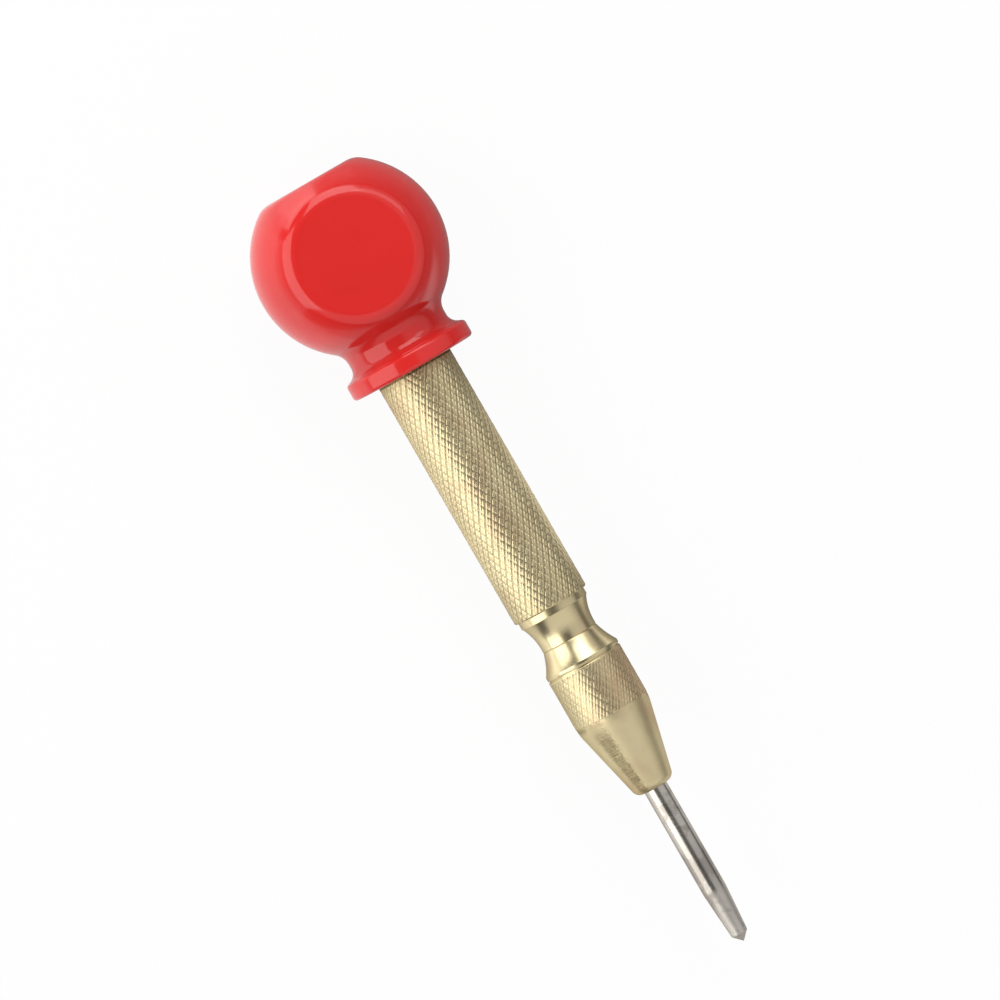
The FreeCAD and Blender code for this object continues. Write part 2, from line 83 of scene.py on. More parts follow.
TAU = 2 * math.pi
ON_AXIS = 1e-9  # a radius below this is a point on the axis


# ---------------------------------------------------------------- turned sections

ARC_STEP = math.radians(4)


def arc(centre, radius, first, last):
    """Points on an arc of a section, between two angles."""
    count = max(2, math.ceil(abs(last - first) / ARC_STEP))
    angles = [first + (last - first) * k / count for k in range(count + 1)]
    return [(centre[0] + radius * math.cos(a), centre[1] + radius * math.sin(a)) for a in angles]


def rounded(before, corner, after, radius):
    """The arc that rounds a section's corner."""
    into = Vector(before) - Vector(corner)
    out_of = Vector(after) - Vector(corner)
    into.normalize()
    out_of.normalize()
    half = into.angle(out_of) / 2
    centre = Vector(corner) + (into + out_of).normalized() * (radius / math.sin(half))
    start = Vector(corner) + into * (radius / math.tan(half)) - centre
    end = Vector(corner) + out_of * (radius / math.tan(half)) - centre
    first = math.atan2(start.y, start.x)
    turn = (math.atan2(end.y, end.x) - first + math.pi) % TAU - math.pi
    return arc(centre, radius, first, first + turn)


def hollow(start, end, radius):
    """The hollow arc that a form tool leaves between two points of a section."""
    chord = Vector(end) - Vector(start)
    outward = Vector((-chord.y, chord.x)).normalized()
    centre = (Vector(start) + Vector(end)) / 2
    centre += outward * math.sqrt(radius**2 - (chord.length / 2) ** 2)
    first = math.atan2(start[1] - centre.y, start[0] - centre.x)
    turn = (math.atan2(end[1] - centre.y, end[0] - centre.x) - first + math.pi) % TAU - math.pi
    return arc(centre, radius, first, first + turn)


def ring_angles(sides, phase=0.0):
    return phase + np.arange(sides) * TAU / sides


def lathe(name, section, sides, first_phase=0.0, last_phase=0.0):
    """A turned mesh. The section runs along the outside away from the tip and back along the bore.

    It starts and ends on the axis, or at rims that another skin closes.
    """
    points, faces, rings = [], [], []
    phases = np.linspace(first_phase, last_phase, len(section))
    for (station, radius), phase in zip(section, phases):
        x = TIP_X + station
        if radius < ON_AXIS:
            rings.append([len(points)] * sides)
            points.append((x, 0.0, AXIS_Z))
            continue
        rings.append(range(len(points), len(points) + sides))
        for angle in ring_angles(sides, phase):
            points.append((x, radius * math.cos(angle), AXIS_Z + radius * math.sin(angle)))
    for near, far in zip(rings, rings[1:]):
        for k in range(sides):
            after = (k + 1) % sides
            face = [near[k], near[after], far[after], far[k]]
            faces.append(tuple(dict.fromkeys(face)))
    mesh = bpy.data.meshes.new(name)
    mesh.from_pydata(points, [], faces)
    return placed(name, mesh)


def placed(name, mesh):
    obj = bpy.data.objects.new(name, mesh)
    bpy.context.collection.objects.link(obj)
    return obj


def dress(obj, material):
    obj.data.materials.clear()
    obj.data.materials.append(material)


CRISP_ANGLE = math.radians(8)


def crisp(mesh):
    """Smooth faces with crisp edges, except inside a knurl, where everything is smooth."""
    mesh.shade_smooth()
    mesh.set_sharp_from_angle(angle=CRISP_ANGLE)
    knurled = mesh.attributes.get("knurled")
    if knurled is None:
        return
    inside = np.zeros(len(mesh.vertices), dtype=np.float32)
    knurled.data.foreach_get("value", inside)
    ends = np.zeros(len(mesh.edges) * 2, dtype=np.int32)
    mesh.edges.foreach_get("vertices", ends)
    ends = ends.reshape(-1, 2)
    sharp = np.zeros(len(mesh.edges), dtype=bool)
    mesh.attributes["sharp_edge"].data.foreach_get("value", sharp)
    sharp &= (inside[ends[:, 0]] < 0.5) & (inside[ends[:, 1]] < 0.5)
    mesh.attributes["sharp_edge"].data.foreach_set("value", sharp)


# ---------------------------------------------------------------- node trees


class Tree:
    """A node tree that is filled one node at a time."""

    def __init__(self, tree):
        self.tree = tree

    def add(self, kind, inputs=None, **settings):
        node = self.tree.nodes.new(kind)
        for name, value in settings.items():
            setattr(node, name, value)
        for key, value in (inputs or {}).items():
            self.feed(node.inputs[key], value)
        return node

    def feed(self, socket, value):
        if isinstance(value, bpy.types.NodeSocket):
            self.tree.links.new(value, socket)
        else:
            socket.default_value = value

    def sum(self, operation, first, second=0.0, third=0.0):
        node = self.add("ShaderNodeMath", {0: first, 1: second, 2: third}, operation=operation)
        return node.outputs[0]

    def span(self, value, low, high, new_low, new_high, kind="LINEAR"):
        node = self.add(
            "ShaderNodeMapRange",
            {
                "Value": value,
                "From Min": low,
                "From Max": high,
                "To Min": new_low,
                "To Max": new_high,
            },
            interpolation_type=kind,
        )
        return node.outputs[0]

    def mix(self, share, first, second):
        node = self.add("ShaderNodeMix", {0: share}, data_type="RGBA")
        self.feed(node.inputs[6], first)
        self.feed(node.inputs[7], second)
        return node.outputs[2]


def floats(*labels):
    return [(label, "Float") for label in labels]


def geometry_tree(name, sockets):
    """A Geometry Nodes tree with a turned body or an empty mesh going in, and named inputs."""
    tree = bpy.data.node_groups.new(name, "GeometryNodeTree")
    tree.interface.new_socket("Geometry", in_out="INPUT", socket_type="NodeSocketGeometry")
    tree.interface.new_socket("Geometry", in_out="OUTPUT", socket_type="NodeSocketGeometry")
    for label, kind in sockets:
        tree.interface.new_socket(label, in_out="INPUT", socket_type=f"NodeSocket{kind}")
    return Tree(tree), tree.nodes.new("NodeGroupInput").outputs, tree.nodes.new("NodeGroupOutput")


def made_by(obj, tree, values):
    """Run a Geometry Nodes tree on an object and keep the result as its plain mesh."""
    modifier = obj.modifiers.new("form", "NODES")
    modifier.node_group = tree
    for item in tree.interface.items_tree:
        if item.in_out == "INPUT" and item.name in values:
            modifier[item.identifier] = values[item.name]
    depsgraph = bpy.context.evaluated_depsgraph_get()
    mesh = bpy.data.meshes.new_from_object(obj.evaluated_get(depsgraph))
    obj.modifiers.clear()
    obj.data = mesh
    mesh.name = obj.name
    return obj


def knurl_tree():
    """Diamond knurling rolled round a band, joined to the turned body that carries it.

    The mesh lines follow one family of grooves and the quads' short diagonals follow the other.
    """
    t, given, result = geometry_tree(
        "diamond_knurl",
        [
            *floats("Start", "Length", "Radius", "Axis Height"),
            ("Grooves Round", "Int"),
            ("Steps Across", "Int"),
            *floats("Helix Angle", "Groove Depth", "Groove Share"),
            *floats("First Family", "Second Family", "Between"),
            *floats("Front Chamfer", "Back Chamfer", "Plain End", "Run Out"),
            *floats("Unevenness", "Seed"),
            ("Material", "Material"),
        ],
    )
    columns = t.sum("MULTIPLY", given["Grooves Round"], given["Steps Across"])
    cell = t.sum("DIVIDE", TAU, columns)
    ring_gap = t.sum("MULTIPLY", given["Radius"], cell)
    ring_gap = t.sum("DIVIDE", ring_gap, t.sum("TANGENT", given["Helix Angle"]))
    ring_gap = t.sum("MULTIPLY", ring_gap, 0.5)
    last_ring = t.sum("DIVIDE", given["Length"], ring_gap)
    rings = t.sum("ADD", t.sum("CEIL", last_ring), 1.0)
    row = t.sum("ADD", columns, 1.0)
    grid = t.add("GeometryNodeMeshGrid", {"Vertices X": rings, "Vertices Y": row})

    index = t.add("GeometryNodeInputIndex").outputs[0]
    ring = t.sum("FLOOR", t.sum("DIVIDE", t.sum("ADD", index, 0.5), row))
    column = t.sum("SUBTRACT", index, t.sum("MULTIPLY", ring, row))
    place = t.sum("MINIMUM", ring, last_ring)
    along = t.sum("MULTIPLY", place, ring_gap)
    angle = t.sum("SUBTRACT", column, t.sum("MULTIPLY", place, 0.5))
    angle = t.sum("MULTIPLY", angle, cell)

    def groove(cells, shift=0.0):
        pitches = t.sum("ADD", t.sum("DIVIDE", cells, given["Steps Across"]), shift)
        nearest = t.sum("PINGPONG", pitches, 0.5)
        return t.span(nearest, 0.0, given["Groove Share"], 1.0, 0.0, "SMOOTHSTEP")

    one = t.sum("MULTIPLY", groove(column), given["First Family"])
    slanted = t.sum("SUBTRACT", column, place)
    other = t.sum("MULTIPLY", groove(slanted), given["Second Family"])
    between = t.sum("MULTIPLY", groove(slanted, 0.5), given["Between"])
    cut = t.sum("MAXIMUM", one, t.sum("MAXIMUM", other, between))
    left = t.sum("SUBTRACT", given["Length"], along)
    run_out_end = t.sum("ADD", given["Plain End"], given["Run Out"])
    fade = t.span(left, given["Plain End"], run_out_end, 0.0, 1.0)
    cut = t.sum("MULTIPLY", cut, fade)

    spot = t.add(
        "ShaderNodeCombineXYZ",
        {
            0: along,
            1: t.sum("MULTIPLY", t.sum("COSINE", angle), given["Radius"]),
            2: t.sum("MULTIPLY", t.sum("SINE", angle), given["Radius"]),
        },
    )
    noise = t.add(
        "ShaderNodeTexNoise",
        {"Vector": spot.outputs[0], "W": given["Seed"], "Scale": 1000.0, "Detail": 3.0},
        noise_dimensions="4D",
    )
    rough = t.sum("MULTIPLY", t.sum("SUBTRACT", noise.outputs[0], 0.7), given["Unevenness"])
    sunk = t.sum("MULTIPLY", cut, given["Groove Depth"])
    sunk = t.sum("SUBTRACT", sunk, t.sum("MINIMUM", rough, 0.0))
    inside = t.span(t.sum("MINIMUM", along, left), 0.0, 0.05 * MM, 0.0, 1.0)
    radius = t.sum("SUBTRACT", given["Radius"], t.sum("MULTIPLY", sunk, inside))
    front = t.sum("ADD", t.sum("SUBTRACT", given["Radius"], given["Front Chamfer"]), along)
    back = t.sum("ADD", t.sum("SUBTRACT", given["Radius"], given["Back Chamfer"]), left)
    radius = t.sum("MINIMUM", radius, t.sum("MINIMUM", front, back))

    position = t.add(
        "ShaderNodeCombineXYZ",
        {
            0: t.sum("ADD", along, given["Start"]),
            1: t.sum("MULTIPLY", t.sum("COSINE", angle), radius),
            2: t.sum("MULTIPLY_ADD", t.sum("SINE", angle), radius, given["Axis Height"]),
        },
    )
    inner = t.sum("MULTIPLY", t.sum("GREATER_THAN", ring, 0.5), t.sum("LESS_THAN", ring, last_ring))
    kept = grid.outputs["Mesh"]
    for name, value in (("cut_depth", cut), ("knurled", inner)):
        store = t.add(
            "GeometryNodeStoreNamedAttribute",
            {"Geometry": kept, "Name": name, "Value": value},
            data_type="FLOAT",
            domain="POINT",
        )
        kept = store.outputs[0]
    moved = t.add("GeometryNodeSetPosition", {"Geometry": kept, "Position": position.outputs[0]})
    split = t.add(
        "GeometryNodeTriangulate", {"Mesh": moved.outputs[0]}, quad_method="SHORTEST_DIAGONAL"
    )
    turned_out = t.add("GeometryNodeFlipFaces", {"Mesh": split.outputs[0]})
    joined = t.add("GeometryNodeJoinGeometry", {0: turned_out.outputs[0]})
    t.feed(joined.inputs[0], given["Geometry"])
    welded = t.add(
        "GeometryNodeMergeByDistance", {"Geometry": joined.outputs[0], "Distance": 0.002 * MM}
    )
    realized = t.add("GeometryNodeRealizeInstances", {"Geometry": welded.outputs[0]})
    dressed = t.add(
        "GeometryNodeSetMaterial", {"Geometry": realized.outputs[0], "Material": given["Material"]}
    )
    t.feed(result.inputs[0], dressed.outputs[0])
    return t.tree


def spring_tree():
    """A compression spring with closed end turns, straight or conical."""
    t, given, result = geometry_tree(
        "wound_spring",
        [
            *floats("Start", "Length", "First Radius", "Last Radius", "Axis Height", "Wire"),
            *floats("Turns", "Closed Turns", "From Turn", "To Turn"),
            ("Steps Round", "Int"),
            ("Material", "Material"),
        ],
    )
    shown = t.sum("SUBTRACT", given["To Turn"], given["From Turn"])
    count = t.sum("MULTIPLY", shown, given["Steps Round"])
    line = t.add("GeometryNodeMeshLine", {"Count": t.sum("ADD", count, 1.0)})
    index = t.add("GeometryNodeInputIndex").outputs[0]
    turn = t.sum("DIVIDE", index, given["Steps Round"])
    turn = t.sum("ADD", turn, given["From Turn"])
    angle = t.sum("MULTIPLY", turn, TAU)
    share = t.sum("DIVIDE", turn, given["Turns"])
    radius = t.span(share, 0.0, 1.0, given["First Radius"], given["Last Radius"])
    open_end = t.sum("SUBTRACT", given["Turns"], given["Closed Turns"])
    opening = t.span(turn, given["Closed Turns"], open_end, 0.0, 1.0)
    solid_height = t.sum("MULTIPLY", given["Wire"], t.sum("ADD", given["Turns"], 1.0))
    free = t.sum("MULTIPLY", t.sum("SUBTRACT", given["Length"], solid_height), opening)
    along = t.sum("MULTIPLY", given["Wire"], t.sum("ADD", turn, 0.5))
    along = t.sum("ADD", t.sum("ADD", along, free), given["Start"])
    position = t.add(
        "ShaderNodeCombineXYZ",
        {
            0: along,
            1: t.sum("MULTIPLY", t.sum("COSINE", angle), radius),
            2: t.sum("MULTIPLY_ADD", t.sum("SINE", angle), radius, given["Axis Height"]),
        },
    )
    coil = t.add(
        "GeometryNodeSetPosition",
        {"Geometry": line.outputs[0], "Position": position.outputs[0]},
    )
    path = t.add("GeometryNodeMeshToCurve", {"Mesh": coil.outputs[0]})
    wire = t.add(
        "GeometryNodeCurvePrimitiveCircle",
        {"Resolution": 16, "Radius": t.sum("MULTIPLY", given["Wire"], 0.5)},
    )
    swept = t.add(
        "GeometryNodeCurveToMesh",
        {"Curve": path.outputs[0], "Profile Curve": wire.outputs[0], "Fill Caps": True},
    )
    realized = t.add("GeometryNodeRealizeInstances", {"Geometry": swept.outputs[0]})
    dressed = t.add(
        "GeometryNodeSetMaterial", {"Geometry": realized.outputs[0], "Material": given["Material"]}
    )
    t.feed(result.inputs[0], dressed.outputs[0])
    return t.tree


# ---------------------------------------------------------------- finishes


def shader_group(name, inputs, outputs):
    tree = bpy.data.node_groups.new(name, "ShaderNodeTree")
    for label, kind, value in inputs:
        socket = tree.interface.new_socket(
            label, in_out="INPUT", socket_type=f"NodeSocket{kind}"
        )
        if value is not None:
            socket.default_value = value
    for label, kind in outputs:
        tree.interface.new_socket(label, in_out="OUTPUT", socket_type=f"NodeSocket{kind}")
    return Tree(tree), tree.nodes.new("NodeGroupInput").outputs, tree.nodes.new("NodeGroupOutput")


def turning_marks_group():
    """Fine rings left by the tool or the grinding wheel: they change along the axis only."""
    t, given, result = shader_group(
        "turning_marks",
        [
            ("Vector", "Vector", None),
            ("Lines", "Float", 4000.0),
            ("Drift", "Float", 0.35),
        ],
        [("Height", "Float"), ("Mask", "Float")],
    )
    parts = t.add("ShaderNodeSeparateXYZ", {0: given["Vector"]})
    wander = t.add("ShaderNodeTexNoise", {"Vector": given["Vector"], "Scale": 160.0, "Detail": 1.0})
    across = t.sum("MULTIPLY", wander.outputs[0], t.sum("MULTIPLY", given["Drift"], MM))
    along = t.sum("MULTIPLY", t.sum("ADD", parts.outputs[0], across), given["Lines"])
    fine = t.add("ShaderNodeTexNoise", {"W": along, "Detail": 3.0}, noise_dimensions="1D")
    broad = t.add(
        "ShaderNodeTexNoise",
        {"W": t.sum("MULTIPLY", along, 0.13), "Detail": 1.0},
        noise_dimensions="1D",
    )
    height = t.sum("ADD", fine.outputs[0], t.sum("MULTIPLY", broad.outputs[0], 0.6))
    t.feed(result.inputs["Height"], height)
    t.feed(result.inputs["Mask"], t.span(fine.outputs[0], 0.35, 0.65, 0.0, 1.0))
    return t.tree


def handling_group():
    """Cloudy tarnish and hairline scratches from handling."""
    t, given, result = shader_group(
        "handling_marks",
        [
            ("Vector", "Vector", None),
            ("Cloud Scale", "Float", 90.0),
            ("Scratch Scale", "Float", 260.0),
        ],
        [("Cloud", "Float"), ("Scratch", "Float")],
    )
    cloud = t.add(
        "ShaderNodeTexNoise",
        {"Vector": given["Vector"], "Scale": given["Cloud Scale"], "Detail": 4.0},
    )
    stretched = t.add(
        "ShaderNodeMapping",
        {"Vector": given["Vector"], "Rotation": (0.4, 0.2, 0.9), "Scale": (1.0, 9.0, 1.4)},
    )
    hairs = t.add(
        "ShaderNodeTexNoise",
        {
            "Vector": stretched.outputs[0],
            "Scale": given["Scratch Scale"],
            "Detail": 2.0,
            "Distortion": 0.3,
        },
    )
    thin = t.sum("ABSOLUTE", t.sum("SUBTRACT", hairs.outputs[0], 0.5))
    t.feed(result.inputs["Cloud"], t.span(cloud.outputs[0], 0.3, 0.7, 0.0, 1.0))
    t.feed(result.inputs["Scratch"], t.span(thin, 0.0, 0.012, 1.0, 0.0))
    return t.tree


TURNING = turning_marks_group()
HANDLING = handling_group()


def finish(name):
    """A new material: its tree, its surface shader and the object's own coordinates."""
    material = bpy.data.materials.new(name)
    material.use_nodes = True
    tree = Tree(material.node_tree)
    surface = material.node_tree.nodes["Principled BSDF"]
    spot = tree.add("ShaderNodeTexCoord").outputs["Object"]
    return material, tree, surface, spot


def use_group(t, group, inputs):
    node = t.add("ShaderNodeGroup", node_tree=group)
    for name, value in inputs.items():
        t.feed(node.inputs[name], value)
    return node.outputs


def set_bump(t, surface, height, distance, strength):
    bump = t.add("ShaderNodeBump", {"Height": height, "Distance": distance, "Strength": strength})
    t.feed(surface.inputs["Normal"], bump.outputs[0])


BRASS_BRIGHT = (0.84, 0.725, 0.45, 1.0)
BRASS_TARNISHED = (0.575, 0.47, 0.24, 1.0)
BRASS_COPPERY = (0.64, 0.44, 0.27, 1.0)
# The dark brass of stains and grime, also mixed in for darker grooves, painted shade and a painted
# dark reflection.
BRASS_DIRT_AND_SHADE = (0.14, 0.10, 0.04, 1.0)
METAL_EDGE = (0.72, 0.66, 0.60, 1.0)


def chatter_and_painted_dark_band(t, turn, satin):
    """A band along one side of the cone, between these angles from the top, with chatter marks in
    the bump and a painted dark reflection in the colour.
    """
    start = t.span(turn, math.radians(21), math.radians(31), 0.0, 1.0, "SMOOTHSTEP")
    end = t.span(turn, math.radians(45), math.radians(57), 1.0, 0.0, "SMOOTHSTEP")
    return t.sum("MULTIPLY", t.sum("MULTIPLY", start, end), satin)


def grime_and_painted_shade(t, station, grime_and_shade_from):
    """Grime with painted shade that thickens over a knurl's last stretch, and a painted shadow line
    at its end.
    """
    shadow_line_end = grime_and_shade_from + 2.2 * MM
    grime_and_shade_film = t.span(station, grime_and_shade_from, shadow_line_end, 0.0, 0.4, "SMOOTHSTEP")
    # A painted shadow line just in front of where the knurl ends under the flange.
    painted_shadow_line = t.span(station, shadow_line_end - 0.3 * MM, shadow_line_end, 0.0, 0.95)
    return t.sum("MAXIMUM", grime_and_shade_film, painted_shadow_line)


def turned_brass(name, gloss, groove_darkening, satin_before, grime_and_shade_from):
    """Brass that is satin before one station and has grime with painted shade after another; both
    are object X.
    """
    material, t, surface, spot = finish(name)
    marks = use_group(t, TURNING, {"Vector": spot, "Lines": 5200.0})
    wear = use_group(t, HANDLING, {"Vector": spot})
    station, across, up = t.add("ShaderNodeSeparateXYZ", {0: spot}).outputs
    groove = t.add("ShaderNodeAttribute", attribute_name="cut_depth").outputs["Fac"]
    knurled = t.add("ShaderNodeAttribute", attribute_name="knurled").outputs["Fac"]
    satin = t.span(station, satin_before - 0.3 * MM, satin_before + 0.3 * MM, 1.0, 0.0)
    patches = t.add("ShaderNodeTexNoise", {"Vector": spot, "Scale": 130.0, "Detail": 2.0})
    pits = t.add("ShaderNodeTexNoise", {"Vector": spot, "Scale": 2200.0, "Detail": 1.0})
    rings = t.add(
        "ShaderNodeTexNoise",
        {"W": t.sum("MULTIPLY", station, 2000.0), "Detail": 3.0},
        noise_dimensions="1D",
    )
    rings = t.span(rings.outputs[0], 0.4, 0.6, 0.0, 1.0)
    turn = t.sum("ARCTAN2", across, t.sum("SUBTRACT", up, AXIS_Z))
    turn = t.sum("MULTIPLY_ADD", pits.outputs[0], 0.2, t.sum("SUBTRACT", turn, 0.1))

    # Tarnish in clouds and patches, darker grooves, and grime with painted shade at the knurl's
    # end.
    colour = t.mix(t.sum("MULTIPLY", wear["Cloud"], 0.5), BRASS_BRIGHT, BRASS_TARNISHED)
    coppery = t.span(patches.outputs[0], 0.52, 0.72, 0.0, 0.45, "SMOOTHSTEP")
    colour = t.mix(coppery, colour, BRASS_COPPERY)
    # Darker in the grooves, by the depth of the cut.
    darkening = t.span(groove, 0.35, 1.0, 0.0, groove_darkening)
    darkening = t.sum("MAXIMUM", darkening, grime_and_painted_shade(t, station, grime_and_shade_from))
    colour = t.mix(darkening, colour, BRASS_DIRT_AND_SHADE)

    # Marks on the satin cone: chatter with a painted dark reflection in a band along one side,
    # fainter near the knurl, and stains.
    chatter_and_painted_band = chatter_and_painted_dark_band(t, turn, satin)
    painted_band_and_stains = t.span(t.sum("MULTIPLY", rings, pits.outputs[0]), 0.1, 0.5, 0.3, 0.85)
    band_fading = t.span(station, satin_before - 3.5 * MM, satin_before - 1.5 * MM, 1.0, 0.4)
    painted_band_and_stains = t.sum("MULTIPLY", t.sum("MULTIPLY", chatter_and_painted_band, painted_band_and_stains), band_fading)
    stain = t.span(patches.outputs[0], 0.36, 0.44, 0.45, 0.0, "SMOOTHSTEP")
    brink = t.span(station, satin_before - 1.6 * MM, satin_before, 0.0, 1.0, "SMOOTHSTEP")
    smear = t.span(patches.outputs[0], 0.42, 0.56, 0.6, 0.0, "SMOOTHSTEP")
    stain = t.sum("MAXIMUM", stain, t.sum("MULTIPLY", smear, brink))
    painted_band_and_stains = t.sum("MAXIMUM", painted_band_and_stains, t.sum("MULTIPLY", stain, satin))
    # The painted dark reflection of the band and the stains darken the colour.
    colour = t.mix(painted_band_and_stains, colour, BRASS_DIRT_AND_SHADE)

    # The knurl behind the cone is worn coppery on the other side.
    worn = t.span(turn, math.radians(-50), math.radians(10), 0.6, 0.0)
    near = t.span(station, satin_before + 10.0 * MM, satin_before + 12.0 * MM, 1.0, 0.0)
    worn = t.sum("MULTIPLY", t.sum("MULTIPLY", worn, near), knurled)
    colour = t.mix(worn, colour, BRASS_COPPERY)
    t.feed(surface.inputs["Base Color"], colour)

    t.feed(surface.inputs["Metallic"], t.span(knurled, 0.0, 1.0, 1.0, 0.84))
    rough = t.span(marks["Mask"], 0.0, 1.0, gloss, gloss + 0.08)
    for share, added in ((wear["Cloud"], 0.05), (groove, 0.06), (knurled, 0.02), (satin, 0.16)):
        rough = t.sum("ADD", rough, t.sum("MULTIPLY", share, added))
    t.feed(surface.inputs["Roughness"], rough)
    surface.inputs["Specular Tint"].default_value = METAL_EDGE
    chatter = t.sum("MULTIPLY", rings, t.sum("MULTIPLY_ADD", chatter_and_painted_band, 8.0, satin))
    height = t.sum("MULTIPLY_ADD", chatter, 1.5, marks["Height"])
    height = t.sum("MULTIPLY_ADD", t.sum("MULTIPLY", pits.outputs[0], knurled), 9.0, height)
    set_bump(t, surface, height, 0.004 * MM, 0.6)
    return material


NOWHERE = -1.0  # an object X in front of the whole tool


def ground_steel(name, bright, dark, gloss, lines, matt_before=NOWHERE):
    """Steel with ring marks and stains, matt before one object X and painted darker at its very
    tip.
    """
    material, t, surface, spot = finish(name)
    station = t.add("ShaderNodeSeparateXYZ", {0: spot}).outputs[0]
    matt = t.span(station, matt_before - 0.5 * MM, matt_before + 0.5 * MM, 1.0, 0.0)
    # The tip cone is painted darker, a painted dark reflection of dim surroundings.
    painted_tip_shade = t.span(station, matt_before - 8.8 * MM, matt_before - 8.3 * MM, 0.35, 0.0)
    marks = use_group(t, TURNING, {"Vector": spot, "Lines": lines})
    wear = use_group(t, HANDLING, {"Vector": spot, "Scratch Scale": 420.0})
    stains = t.add("ShaderNodeTexNoise", {"Vector": spot, "Scale": 300.0, "Detail": 4.0})
    stain = t.span(stains.outputs[0], 0.5, 0.64, 0.0, 0.6, "SMOOTHSTEP")
    share = t.sum("MULTIPLY", wear["Cloud"], 0.65)
    share = t.sum("ADD", share, t.sum("MULTIPLY", marks["Mask"], 0.25))
    share = t.sum("ADD", share, painted_tip_shade)
    share = t.sum("ADD", share, stain)
    t.feed(surface.inputs["Base Color"], t.mix(share, bright, dark))
    t.feed(surface.inputs["Metallic"], 1.0)
    rough = t.span(marks["Mask"], 0.0, 1.0, gloss, gloss + 0.12)
    rough = t.sum("ADD", rough, t.sum("MULTIPLY", wear["Scratch"], 0.1))
    rough = t.sum("ADD", rough, t.sum("MULTIPLY", matt, 0.2))
    t.feed(surface.inputs["Roughness"], rough)
    surface.inputs["Specular Tint"].default_value = METAL_EDGE
    set_bump(t, surface, marks["Height"], 0.003 * MM, 0.4)
    return material


RED_FRESH = (0.75, 0.028, 0.025, 1.0)
RED_HANDLED = (0.69, 0.023, 0.021, 1.0)
# The dark red of painted shade.
RED_PAINTED_SHADE = (0.34, 0.012, 0.010, 1.0)


def red_plastic():
    """Glossy moulded plastic, with painted shade in the hollow between the flange and the ball."""
    material, t, surface, spot = finish("red_plastic_gloss")
    wear = use_group(
        t, HANDLING, {"Vector": spot, "Cloud Scale": 60.0, "Scratch Scale": 120.0}
    )
    shade = t.mix(wear["Cloud"], RED_FRESH, RED_HANDLED)
    station = t.add("ShaderNodeSeparateXYZ", {0: spot}).outputs[0]
    # Painted shade darkens the hollow behind the flange.
    hollow_start = TIP_X + CAP_START + 2.6 * MM
    behind = t.span(station, hollow_start, hollow_start + 1.5 * MM, 0.0, 0.3)
    ahead = t.span(station, hollow_start + 6.0 * MM, hollow_start + 9.0 * MM, 1.0, 0.0)
    painted_hollow_shade = t.sum("MULTIPLY", behind, ahead)
    shade = t.mix(painted_hollow_shade, shade, RED_PAINTED_SHADE)
    t.feed(surface.inputs["Base Color"], shade)
    rough = t.span(wear["Cloud"], 0.0, 1.0, 0.09, 0.14)
    rough = t.sum("ADD", rough, t.sum("MULTIPLY", wear["Scratch"], 0.12))
    t.feed(surface.inputs["Roughness"], rough)
    surface.inputs["IOR"].default_value = 1.5
    ripple = t.add("ShaderNodeTexNoise", {"Vector": spot, "Scale": 180.0, "Detail": 1.0})
    height = t.sum("ADD", ripple.outputs[0], t.sum("MULTIPLY", wear["Scratch"], -0.04))
    set_bump(t, surface, height, 0.01 * MM, 0.5)
    return material


TIP_CONE = 1.52 * MM
TAPER_END = TIP_CONE + 8.5 * MM
MATT_END = 10.0 * MM
CONE_END = POINT_REACH + 15.05 * MM
BRASS = turned_brass(
    "brass_turned",
    gloss=0.2,
    groove_darkening=0.45,
    satin_before=TIP_X + CONE_END,
    grime_and_shade_from=TIP_X + SPIGOT_END,
)
KNURLED = turned_brass(
    "brass_knurled",
    gloss=0.18,
    groove_darkening=0.65,
    satin_before=TIP_X,
    grime_and_shade_from=TIP_X + CAP_START - 2.6 * MM,
)
POINT_STEEL = ground_steel(
    "steel_ground",
    bright=(0.75, 0.71, 0.65, 1.0),
    dark=(0.42, 0.385, 0.345, 1.0),
    gloss=0.19,
    lines=7000.0,
    matt_before=TIP_X + MATT_END,
)
HARD_STEEL = ground_steel(
    "steel_hardened",
    bright=(0.4, 0.4, 0.42, 1.0),
    dark=(0.24, 0.23, 0.23, 1.0),
    gloss=0.25,
    lines=4000.0,
)
PLATED_STEEL = ground_steel(
    "steel_plated",
    bright=(0.66, 0.67, 0.69, 1.0),
    dark=(0.5, 0.51, 0.53, 1.0),
    gloss=0.2,
    lines=3000.0,
)
SPRING_STEEL = ground_steel(
    "steel_spring",
    bright=(0.5, 0.5, 0.52, 1.0),
    dark=(0.3, 0.3, 0.32, 1.0),
    gloss=0.22,
    lines=2500.0,
)
RED = red_plastic()


# ---------------------------------------------------------------- the pieces

KNURL_PATTERN = (34, 7)
KNURL_SIDES = math.prod(KNURL_PATTERN)
KNURL_HELIX = math.radians(30)
KNURL = knurl_tree()
SPRING = spring_tree()


def end_phase(length, radius):
    """How far the knurl's columns have turned at its far end."""
    return -length * math.tan(KNURL_HELIX) / radius


def knurl_values(start, length, radius, material, **others):
    """The knurl tree's inputs: those of the barrel, apart from any others given."""
    values = {
        "Start": TIP_X + start,
        "Length": length,
        "Radius": radius,
        "Axis Height": AXIS_Z,
        "Grooves Round": KNURL_PATTERN[0],
        "Steps Across": KNURL_PATTERN[1],
        "Helix Angle": KNURL_HELIX,
        "Groove Depth": 0.19 * MM,
        "Groove Share": 0.3,
        "First Family": 0.75,
        "Second Family": 1.0,
        "Between": 0.65,
        "Front Chamfer": 0.25 * MM,
        "Back Chamfer": 0.25 * MM,
        "Plain End": 0.0,
        "Run Out": 0.05 * MM,
        "Unevenness": 0.07 * MM,
        "Seed": 3.0,
        "Material": material,
    }
    values.update(others)
    return values


